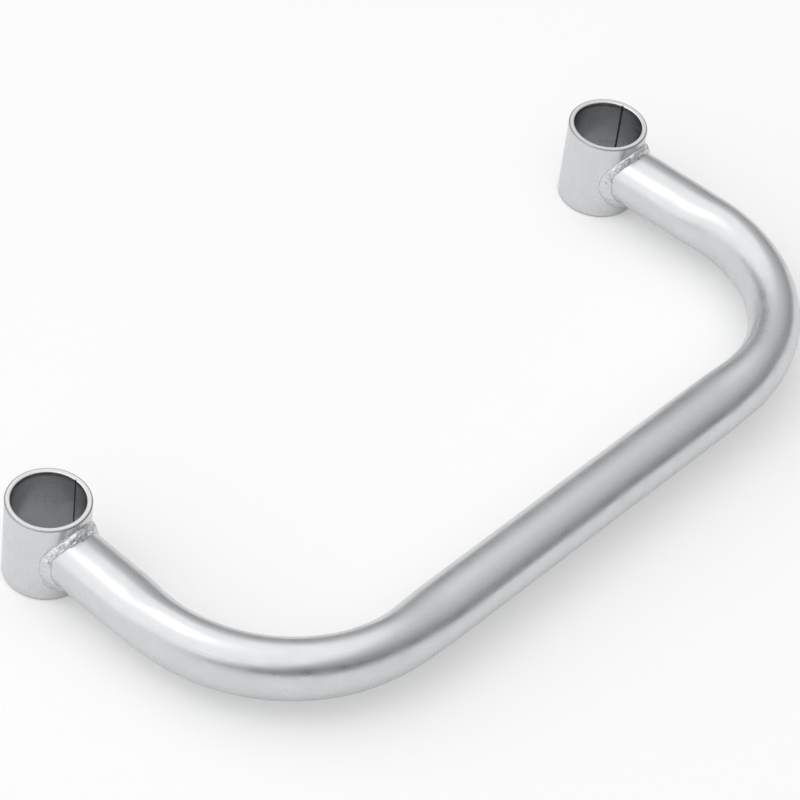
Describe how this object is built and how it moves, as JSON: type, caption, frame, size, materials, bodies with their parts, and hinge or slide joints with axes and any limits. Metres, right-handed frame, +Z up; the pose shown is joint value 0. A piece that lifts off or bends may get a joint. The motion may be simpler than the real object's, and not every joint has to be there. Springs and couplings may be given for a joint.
{
  "type": "bridge pull handle",
  "caption": "U-shaped tubular bridge handle: bent steel tube with coped ends welded to short upright mounting sleeves.",
  "frame": {"origin": "midway between the two sleeve axes, in the plane of the sleeves' lower end faces", "axes": "+Z up along the sleeve bores, +X along the grip from the left sleeve to the right; the grip lies towards -Y"},
  "size_m": [0.323, 0.141, 0.034],
  "materials": {
    "plated_tube": "satin bright zinc plating on bent steel tube",
    "plated_sleeve": "satin bright zinc plating, bright deburred end faces",
    "weld_metal": "plated weld bead, rippled"
  },
  "bodies": {
    "root": {"handle_tube": "plated_tube", "left_sleeve": "plated_sleeve", "right_sleeve": "plated_sleeve", "left_weld": "weld_metal", "right_weld": "weld_metal"}
  },
  "joints": []
}
